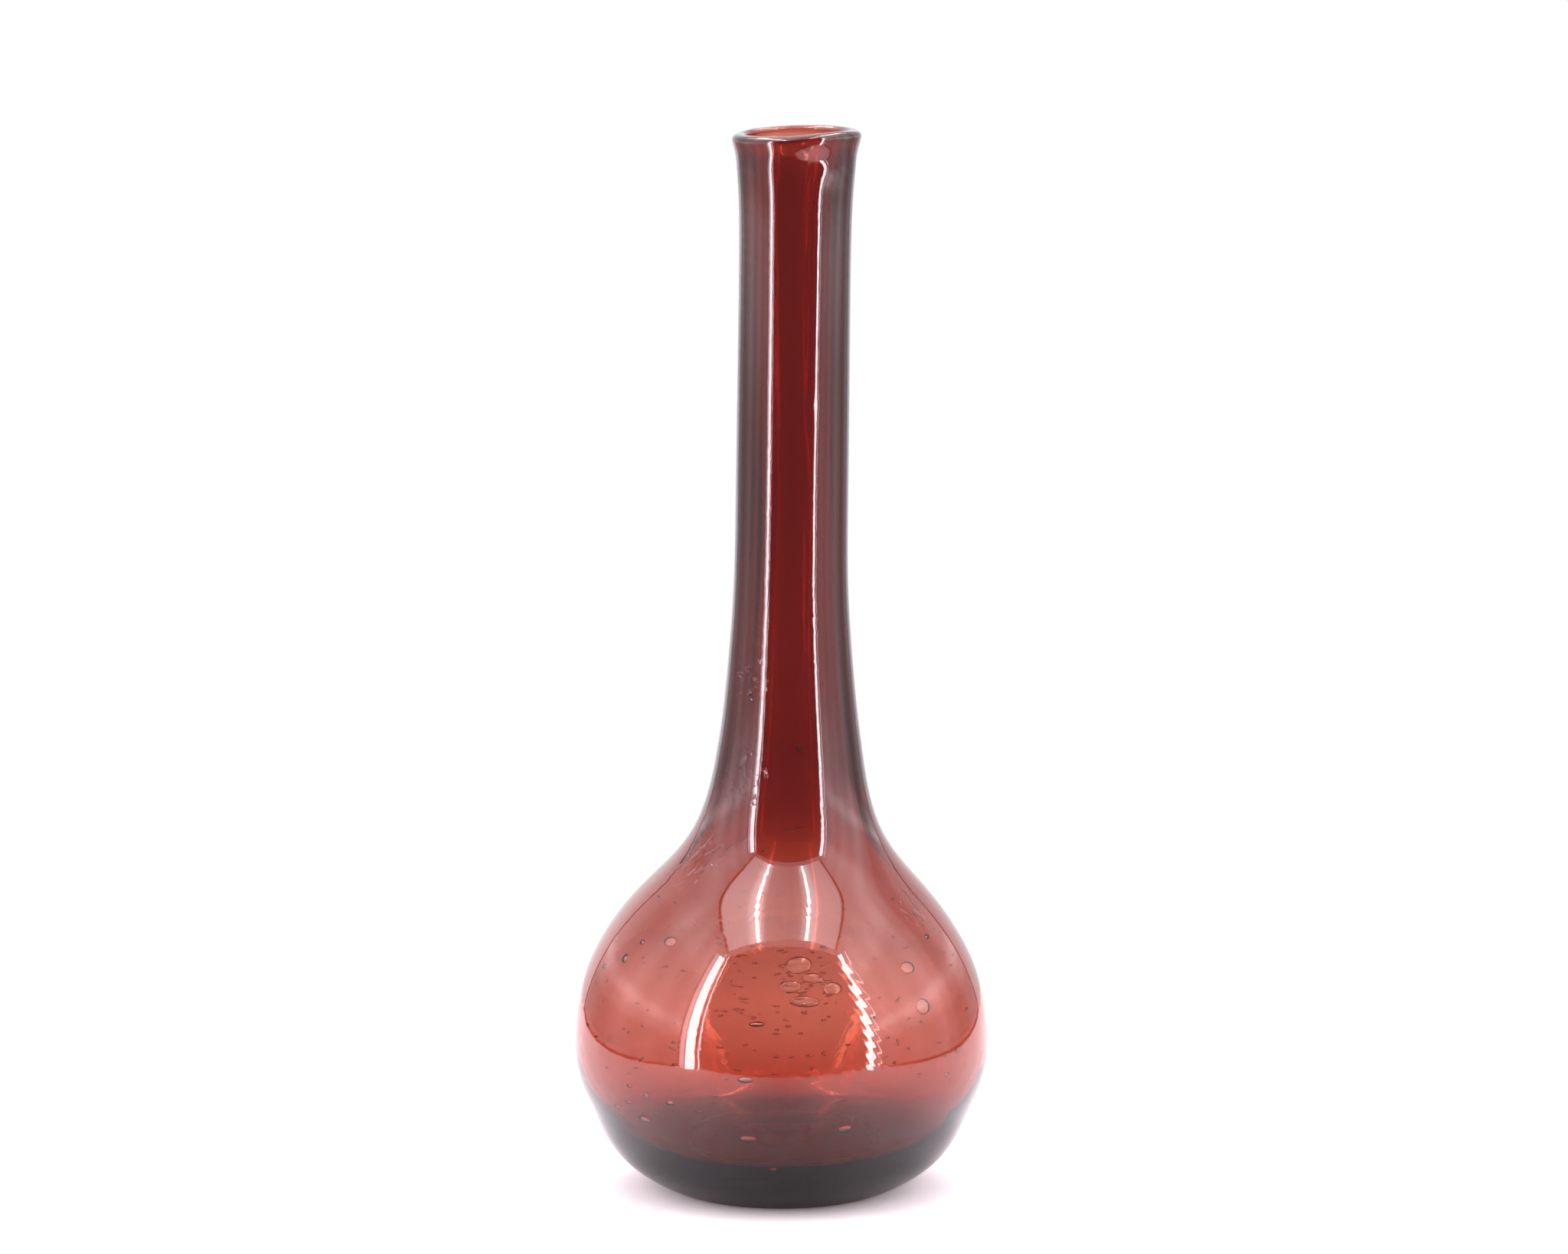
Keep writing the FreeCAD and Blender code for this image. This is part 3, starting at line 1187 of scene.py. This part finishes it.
@dataclass(frozen=True)
class GlowFinish:
    """A lit stage wall or lamp, of the tent's slightly warm white."""

    name: str
    strength: float
    seen: Seen = Seen.ALL
    otherwise: float = 1.0
    shadings: tuple[Shading, ...] = ()
    tint: Colour = (1.0, 0.945, 0.985, 1.0)

    def material(self) -> bpy.types.Material:
        """Makes the glow; a wall for reflections has its own level for the other rays.

        Returns:
            The glow.
        """
        nodes = Nodes(self.name)
        glow = nodes.add("ShaderNodeEmission", Color=self.tint, Strength=self.strength)
        nodes.link(glow.outputs["Emission"], nodes.output.inputs["Surface"])
        level = self.shaded(nodes) if self.shadings else None
        if self.seen is Seen.REFLECTED:
            pick = nodes.add("ShaderNodeMapRange", To_Min=self.otherwise, To_Max=self.strength)
            nodes.link(nodes.mirrored(nodes.add("ShaderNodeLightPath")), pick.inputs["Value"])
            if level:
                nodes.link(level, pick.inputs["To Max"])
            level = pick.outputs["Result"]
        if level:
            nodes.link(level, glow.inputs["Strength"])
        return nodes.material

    def shaded(self, nodes: Nodes) -> bpy.types.NodeSocket:
        """Lets the glow follow its shadings.

        Args:
            nodes: The glow's node tree.

        Returns:
            The changing strength.
        """
        split = nodes.add("ShaderNodeSeparateXYZ")
        nodes.link(nodes.add("ShaderNodeTexCoord").outputs["Generated"], split.inputs["Vector"])
        level = nodes.add("ShaderNodeValue").outputs[0]
        level.default_value = self.strength
        for shading in self.shadings:
            ramp = nodes.add("ShaderNodeValToRGB")
            ramp.color_ramp.interpolation = "EASE"
            while len(ramp.color_ramp.elements) < len(shading.stops):
                ramp.color_ramp.elements.new(0.5)
            for stop, (place, share) in zip(ramp.color_ramp.elements, shading.stops):
                stop.position = place
                stop.color = (share, share, share, 1.0)
            nodes.link(split.outputs[shading.along.value], ramp.inputs["Fac"])
            level = nodes.compute("MULTIPLY", level, ramp.outputs["Color"])
        return level


@dataclass(frozen=True)
class ColourBlend:
    """A colour near the vase that turns into another further out, from start to end."""

    near: Colour
    far: Colour
    start: float
    end: float

    def add_to(self, nodes: Nodes, distance: bpy.types.NodeSocket) -> bpy.types.NodeSocket:
        """Adds the blend to a material.

        Args:
            nodes: The material's node tree.
            distance: How far out a place is, in metres.

        Returns:
            The blended colour.
        """
        share = nodes.add("ShaderNodeMapRange", From_Min=self.start, From_Max=self.end)
        nodes.link(distance, share.inputs["Value"])
        blend = nodes.add("ShaderNodeMixRGB", Color1=self.near, Color2=self.far)
        nodes.link(share.outputs["Result"], blend.inputs["Fac"])
        return blend.outputs["Color"]


@dataclass(frozen=True)
class FloorFinish:
    """Plain white table that keeps the vase's shadow.

    It is white where it is looked at. Behind the glass its colour is lowered as painted
    shade, more so towards the back, and in the glass's mirror it holds the vase's painted
    shadow, darkest along the middle in front of the vase and lighter to the sides. The lift
    is a little glow where it is looked at.
    """

    name: str = "white_table"
    colour: Colour = (0.93, 0.90, 0.92, 1.0)
    # Painted shade behind the glass: darker than where looked at, darker still towards the back
    behind: ColourBlend = ColourBlend((0.47, 0.44, 0.455, 1.0), (0.40, 0.38, 0.395, 1.0), 0.24, 0.44)
    # Painted shadow of the vase in the glass's mirror: darkest along the middle, lighter to the sides
    mirrored: ColourBlend = ColourBlend((0.57, 0.555, 0.565, 1.0), (0.90, 0.87, 0.89, 1.0), 0.012, 0.075)
    lift: float = 0.06

    def material(self) -> bpy.types.Material:
        """Makes the table, lifted to white where looked at, with painted shade behind and in the glass.

        Returns:
            The table's material.
        """
        nodes = Nodes(self.name)
        path = nodes.add("ShaderNodeLightPath")
        looked_at = path.outputs["Is Camera Ray"]
        split = nodes.add("ShaderNodeSeparateXYZ")
        nodes.link(nodes.add("ShaderNodeTexCoord").outputs["Object"], split.inputs["Vector"])
        # Painted shade: darker table colours for rays through the glass and for the glass's mirror
        behind = self.behind.add_to(nodes, split.outputs["Y"])
        mirrored = self.mirrored.add_to(nodes, nodes.compute("ABSOLUTE", split.outputs["X"]))
        painted_shade = nodes.mixed(nodes.mirrored(path), behind, mirrored)
        cloth = nodes.add("ShaderNodeBsdfDiffuse")
        nodes.link(nodes.mixed(looked_at, painted_shade, self.colour), cloth.inputs["Color"])
        lift = nodes.add("ShaderNodeEmission", Color=(1.0, 1.0, 1.0, 1.0))
        nodes.link(nodes.compute("MULTIPLY", looked_at, self.lift), lift.inputs["Strength"])
        both = nodes.add("ShaderNodeAddShader")
        nodes.link(cloth.outputs["BSDF"], both.inputs[0])
        nodes.link(lift.outputs["Emission"], both.inputs[1])
        nodes.link(both.outputs["Shader"], nodes.output.inputs["Surface"])
        return nodes.material


@dataclass(frozen=True)
class LampBar:
    """Upright lamp beside the camera; its angle is in degrees from the front towards +X."""

    angle: float
    width: float
    glow: float
    shadings: tuple[Shading, ...] = ()


@dataclass
class LightTent:
    """White tent that the vase stands in: lit sheets, a dark open front and lamps.

    The light of its thin sides comes from screens outside them. Dark rods along its edges
    are painted shade for the seams where its sheets meet, and are seen only where the glass
    mirrors them. Strips and screens change their glow as their rows of places and shares say.
    """

    half_width: float = 0.385
    front: float = -0.365
    back: float = 0.47
    height: float = 0.72
    opening_top: float = 0.63
    back_glow: float = 1.02
    back_mirrored: float = 1.45
    back_across: tuple[tuple[float, float], ...] = ((0.0, 1.0), (0.35, 0.95), (0.75, 0.80), (1.0, 0.75))
    side_glow: float = 5.4
    side_shares: tuple[float, float] = (0.97, 1.12)
    ceiling_glow: float = 2.5
    front_glow: float = 0.26
    band_glow: float = 1.6
    rod: float = 0.014
    # Near-black glow of the rods, painted shade for the tent's seams
    seam_shade_glow: float = 0.02
    clearance: float = 0.004
    bar_distance: float = 0.45
    bar_top: float = 0.57
    bars: tuple[LampBar, ...] = (
        LampBar(-53.2, 0.028, 6.0, (Shading(Axis.ACROSS, ((0.0, 0.0), (0.5, 1.0), (1.0, 1.0))),)),
        LampBar(-48.3, 0.040, 20.0),
        LampBar(-43.4, 0.007, 14.0),
        LampBar(47.0, 0.031, 20.0),
        LampBar(52.0, 0.007, 10.0),
    )
    strip_from: float = 0.03
    strip_to: float = 0.368
    strip_glows: tuple[float, float] = (30.0, 26.5)
    strip_shares: tuple[tuple[float, float], ...] = (
        (0.0, 0.083),
        (0.20, 0.10),
        (0.34, 0.24),
        (0.358, 1.0),
        (0.398, 1.0),
        (0.42, 0.30),
        (0.62, 0.165),
        (1.0, 0.150),
    )
    screen_distance: float = 0.75
    screen_ends: tuple[float, float] = (-1.0, 1.2)
    screen_heights: tuple[float, float] = (-0.4, 1.4)
    screen_upward: tuple[tuple[float, float], ...] = (
        (0.0, 0.24),
        (0.29, 0.255),
        (0.33, 0.42),
        (0.37, 0.70),
        (0.41, 0.46),
        (0.58, 0.44),
        (0.68, 0.62),
        (1.0, 0.42),
    )
    screen_left: tuple[tuple[float, float], ...] = (
        (0.0, 0.90),
        (0.20, 0.84),
        (0.25, 1.0),
        (0.31, 0.80),
        (0.37, 1.0),
        (0.43, 0.82),
        (0.50, 1.0),
        (0.57, 0.66),
        (0.62, 0.48),
        (0.68, 0.48),
        (0.75, 0.56),
        (1.0, 0.60),
    )
    screen_right: tuple[tuple[float, float], ...] = (
        (0.0, 0.90),
        (0.20, 0.84),
        (0.27, 1.0),
        (0.33, 0.84),
        (0.38, 1.0),
        (0.44, 0.86),
        (0.50, 1.0),
        (0.57, 0.62),
        (0.62, 0.36),
        (0.68, 0.37),
        (0.75, 0.48),
        (1.0, 0.48),
    )

    def panel(self, name: str, corners: list[Vector], finish: bpy.types.Material) -> bpy.types.Object:
        """Adds one flat stage panel.

        Args:
            name: The panel's name.
            corners: Its four corners in order.
            finish: Its material.

        Returns:
            The panel.
        """
        mesh = bpy.data.meshes.new(name)
        mesh.from_pydata([tuple(c) for c in corners], [], [tuple(range(len(corners)))])
        mesh.materials.append(finish)
        panel = new_piece(name, mesh)
        return panel

    def walls(self) -> None:
        """Adds the floor, the back, the sides, the ceiling and the dark front."""
        w, f, b, h, t = self.half_width, self.front, self.back, self.height, self.opening_top
        floor = [Vector((-w, f, 0)), Vector((w, f, 0)), Vector((w, b, 0)), Vector((-w, b, 0))]
        self.panel("tent_floor", floor, FloorFinish().material())
        far, (near, deep), (low, high) = self.screen_distance, self.screen_ends, self.screen_heights
        upward = Shading(Axis.UPWARD, self.screen_upward)
        inward = (Shading(Axis.INWARD, stops) for stops in (self.screen_left, self.screen_right))
        left, right = (
            GlowFinish("side_screen", self.side_glow * share, shadings=(upward, shading))
            for share, shading in zip(self.side_shares, inward)
        )
        across = (Shading(Axis.ACROSS, self.back_across),)
        back = GlowFinish("back_sheet", self.back_mirrored, Seen.REFLECTED, self.back_glow, across)
        roof = GlowFinish("roof_sheet", self.ceiling_glow)
        band = GlowFinish("band_sheet", self.band_glow)
        room = GlowFinish("dim_room", self.front_glow, Seen.REFLECTED)
        side = ((near, low), (deep, low), (deep, high), (near, high))
        sheets = {
            "tent_back": (back, (-w, b, 0), (w, b, 0), (w, b, h), (-w, b, h)),
            "screen_left": (left, *((-far, *corner) for corner in side)),
            "screen_right": (right, *((far, *corner) for corner in side)),
            "tent_ceiling": (roof, (-w, f, h), (w, f, h), (w, b, h), (-w, b, h)),
            "tent_band": (band, (-w, f, t), (w, f, t), (w, f, h), (-w, f, h)),
            "tent_front": (room, (-w, f, 0), (w, f, 0), (w, f, t), (-w, f, t)),
        }
        for name, (finish, *corners) in sheets.items():
            self.panel(name, [Vector(c) for c in corners], finish.material()).visible_camera = False

    def rods(self) -> None:
        """Adds dark rods along the tent's edges, painted shade for its seams, that only mirrored rays meet.
        """
        w, f, b, h, t, r = self.half_width, self.front, self.back, self.height, self.opening_top, self.rod
        # Near-black glow: painted shade for the dark seams where the tent's sheets meet
        dark = GlowFinish("seam_shade_rod", self.seam_shade_glow).material()
        ends = {
            "roof_left": ((-w, f, h), (-w, b, h)),
            "roof_right": ((w, f, h), (w, b, h)),
            "roof_back": ((-w, b, h), (w, b, h)),
            "roof_front": ((-w, f, t), (w, f, t)),
            "back_left": ((-w, b, 0), (-w, b, h)),
            "back_right": ((w, b, 0), (w, b, h)),
            "floor_left": ((-w, f, 0), (-w, b, 0)),
            "floor_right": ((w, f, 0), (w, b, 0)),
            "floor_front": ((-w, f, 0), (w, f, 0)),
        }
        for name, (start, end) in ends.items():
            mesh = bpy.data.meshes.new("rod_" + name)
            shell = bmesh.new()
            along = Vector(end) - Vector(start)
            bmesh.ops.create_cone(
                shell, segments=8, radius1=r / 2, radius2=r / 2, depth=along.length, cap_ends=True
            )
            shell.to_mesh(mesh)
            shell.free()
            mesh.materials.append(dark)
            rod = new_piece("rod_" + name, mesh)
            rod.rotation_euler = along.to_track_quat("Z", "Y").to_euler()
            rod.location = (Vector(start) + Vector(end)) / 2
            rod.visible_camera = rod.visible_diffuse = rod.visible_shadow = rod.visible_transmission = False

    def lamps(self) -> None:
        """Adds the upright bars at the front corners and the strips under the ceiling."""
        clear = self.clearance
        for number, bar in enumerate(self.bars):
            turn = math.radians(bar.angle)
            middle = Vector((math.sin(turn), -math.cos(turn), 0.0)) * self.bar_distance
            middle *= min(1.0, (-self.front - clear) / -middle.y, (self.half_width - clear) / abs(middle.x))
            across = Vector((math.cos(turn), math.sin(turn), 0.0)) * bar.width / 2
            corners = [middle - across, middle + across]
            corners += [c + Vector((0, 0, self.bar_top)) for c in corners[::-1]]
            finish = GlowFinish(f"lamp_bar_{number}", bar.glow, shadings=bar.shadings)
            self.panel(f"lamp_bar_{number}", corners, finish.material()).visible_camera = False
        outward = self.strip_shares
        inward = tuple((1.0 - place, share) for place, share in outward[::-1])
        y0, y1, z = self.front + clear, self.back - clear, self.height - clear
        for word, glow, low, high, shares in (
            ("left", self.strip_glows[0], -self.strip_to, -self.strip_from, inward),
            ("right", self.strip_glows[1], self.strip_from, self.strip_to, outward),
        ):
            strip = GlowFinish(f"lamp_strip_{word}", glow, shadings=(Shading(Axis.ACROSS, shares),))
            corners = [Vector((x, y, z)) for x, y in ((low, y0), (high, y0), (high, y1), (low, y1))]
            self.panel(f"lamp_strip_{word}", corners, strip.material()).visible_camera = False

    def build(self) -> None:
        """Puts up the whole tent and a white world around it."""
        self.walls()
        self.rods()
        self.lamps()
        world = bpy.data.worlds.new("white_surround")
        world.use_nodes = True
        surround = world.node_tree.nodes["Background"].inputs
        surround["Color"].default_value = (1.0, 1.0, 1.0, 1.0)
        surround["Strength"].default_value = 1.0
        bpy.context.scene.world = world


@dataclass(frozen=True)
class PhotoCamera:
    """Camera at the photograph's viewing angle."""

    place: tuple[float, float, float] = (0.00075, -2.0915, 0.4944)
    target: tuple[float, float, float] = (0.00075, 0.0, 0.1605)
    lens_mm: float = 173.3
    sensor_mm: float = 36.0
    nearest: float = 0.05
    furthest: float = 20.0

    def build(self) -> bpy.types.Object:
        """Makes the camera and takes it into use.

        Returns:
            The camera.
        """
        data = bpy.data.cameras.new("photo_camera")
        data.lens = self.lens_mm
        data.sensor_width = self.sensor_mm
        data.sensor_fit = "HORIZONTAL"
        data.clip_start = self.nearest
        data.clip_end = self.furthest
        camera = bpy.data.objects.new("photo_camera", data)
        camera.location = self.place
        aim = Vector(self.target) - Vector(self.place)
        camera.rotation_euler = aim.to_track_quat("-Z", "Y").to_euler()
        bpy.context.scene.collection.objects.link(camera)
        bpy.context.scene.camera = camera
        return camera


def main() -> None:
    """Builds the vase, its stage and its camera."""
    logging.basicConfig(level=logging.INFO, format="%(name)s: %(message)s")
    bpy.context.scene.view_settings.view_transform = "Standard"
    for piece in (VaseGlass().dress(), PuntyScar().dress()):
        logger.info("%s: %d faces", piece.name, len(piece.data.polygons))
    LightTent().build()
    PhotoCamera().build()


if __name__ == "__main__":
    main()
